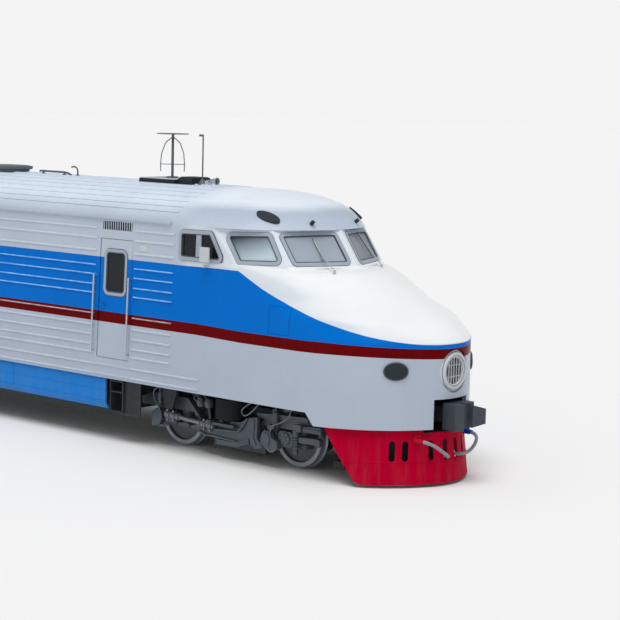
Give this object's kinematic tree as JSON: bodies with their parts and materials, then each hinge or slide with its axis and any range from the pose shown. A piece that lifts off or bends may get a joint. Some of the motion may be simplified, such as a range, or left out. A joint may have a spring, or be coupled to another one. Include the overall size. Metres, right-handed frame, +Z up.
{
  "type": "railway head car",
  "caption": "Full-size head car of an electric multiple unit: long-nosed cab, ribbed body with doors and windows, two turning bogies, roof gear, pilot and couplers",
  "frame": {"origin": "on the centre plane, under the middle of the car's overall length, at the lowest point of the wheel flanges", "axes": "+X forward to the nose, +Y to the car's left, +Z up"},
  "size_m": [26.68, 3.284, 5.02],
  "materials": {
    "antenna_dark": "dark grey paint",
    "black_plastic": "matt black",
    "body_blue": "deep blue semi-gloss paint",
    "body_grey": "light blue-grey semi-gloss paint",
    "body_white": "white semi-gloss paint",
    "bogie_grey": "dark grey paint on cast and welded steel",
    "cab_trim": "light grey lining panel",
    "coupler_iron": "black painted casting",
    "desk_plastic": "dark grey moulded desk",
    "floor_covering": "grey floor covering",
    "glass": "tinted safety glass",
    "horn_metal": "dull spun metal",
    "hose_rubber": "matt dark hose rubber",
    "lamp_glass": "clear lens over a pale reflector",
    "lamp_grille": "bright ring with a bar grille",
    "pilot_crimson": "crimson semi-gloss paint",
    "rail_steel": "satin steel",
    "roof_paint": "light grey-blue satin paint",
    "rubber": "matt black rubber",
    "seat_cloth": "blue woven seat cloth",
    "skirt_blue": "bright blue semi-gloss paint",
    "underfloor_grey": "dull dark grey paint",
    "underframe_grey": "dull dark grey paint",
    "wheel_steel": "machined steel with a bright tread",
    "window_rubber": "dark window frame and seal"
  },
  "bodies": {
    "carbody": {"air_horns": "horn_metal", "air_tanks": "underfloor_grey", "brake_hoses": "hose_rubber", "bulkheads": "cab_trim", "cab_floor": "floor_covering", "cab_roof_dome": "roof_paint", "couplers": "coupler_iron", "crew_steps": "underfloor_grey", "driver_desk": "desk_plastic", "driver_seats": "seat_cloth", "entry_door_glass": "glass", "entry_doors": "body_white", "gangway_bellows": "rubber", "glasshouse_frame": "body_white", "handrails": "rail_steel", "hood": "body_white", "marker_lamps": "lamp_glass", "mirrors": "black_plastic", "nose_shell": "body_grey", "pilot": "pilot_crimson", "rain_gutters": "roof_paint", "rear_end_wall": "body_blue", "receiver_coils": "underfloor_grey", "roof": "roof_paint", "roof_antennas": "antenna_dark", "roof_boxes": "antenna_dark", "round_headlamp": "lamp_grille", "saloon_seats": "seat_cloth", "side_wall_left": "body_white", "side_wall_right": "body_white", "skirt_panels": "skirt_blue", "underfloor_boxes": "underfloor_grey", "underframe": "underframe_grey", "window_frames": "window_rubber", "window_glass": "glass", "wipers": "black_plastic"},
    "bogie_front": {"bogie_frame_front": "bogie_grey", "axle_boxes_front": "bogie_grey", "air_springs_front": "rubber", "brake_gear_front": "bogie_grey", "rods_and_dampers_front": "bogie_grey"},
    "bogie_rear": {"bogie_frame_rear": "bogie_grey", "axle_boxes_rear": "bogie_grey", "air_springs_rear": "rubber", "brake_gear_rear": "bogie_grey", "rods_and_dampers_rear": "bogie_grey"},
    "wheelset_1": {"wheelset_1": "wheel_steel"},
    "wheelset_2": {"wheelset_2": "wheel_steel"},
    "wheelset_3": {"wheelset_3": "wheel_steel"},
    "wheelset_4": {"wheelset_4": "wheel_steel"},
    "crew_door_left": {"crew_door_left": "body_white", "crew_door_glass_left": "glass"},
    "crew_door_right": {"crew_door_right": "body_white", "crew_door_glass_right": "glass"},
    "end_door": {"end_door": "body_blue", "end_door_glass": "glass"}
  },
  "joints": [
    {"name": "bogie_front_turn", "type": "hinge", "parent": "carbody", "child": "bogie_front", "pos_m": [9.4, 0, 0.62], "axis": [0, 0, 1], "range_deg": [-4, 4]},
    {"name": "bogie_rear_turn", "type": "hinge", "parent": "carbody", "child": "bogie_rear", "pos_m": [-9.4, 0, 0.62], "axis": [0, 0, 1], "range_deg": [-4, 4]},
    {"name": "wheelset_1_spin", "type": "hinge", "parent": "bogie_front", "child": "wheelset_1", "pos_m": [10.65, 0, 0.503], "axis": [0, 1, 0], "continuous": true},
    {"name": "wheelset_2_spin", "type": "hinge", "parent": "bogie_front", "child": "wheelset_2", "pos_m": [8.15, 0, 0.503], "axis": [0, 1, 0], "continuous": true},
    {"name": "wheelset_3_spin", "type": "hinge", "parent": "bogie_rear", "child": "wheelset_3", "pos_m": [-8.15, 0, 0.503], "axis": [0, 1, 0], "continuous": true},
    {"name": "wheelset_4_spin", "type": "hinge", "parent": "bogie_rear", "child": "wheelset_4", "pos_m": [-10.65, 0, 0.503], "axis": [0, 1, 0], "continuous": true},
    {"name": "crew_door_left_swing", "type": "hinge", "parent": "carbody", "child": "crew_door_left", "pos_m": [7.592, 1.4073, 2.35], "axis": [0, 0, 1], "range_deg": [0, 90]},
    {"name": "crew_door_right_swing", "type": "hinge", "parent": "carbody", "child": "crew_door_right", "pos_m": [7.592, -1.4073, 2.35], "axis": [0, 0, 1], "range_deg": [-90, 0]},
    {"name": "end_door_swing", "type": "hinge", "parent": "carbody", "child": "end_door", "pos_m": [-12.918, -0.412, 2.35], "axis": [0, 0, 1], "range_deg": [-90, 0]}
  ]
}
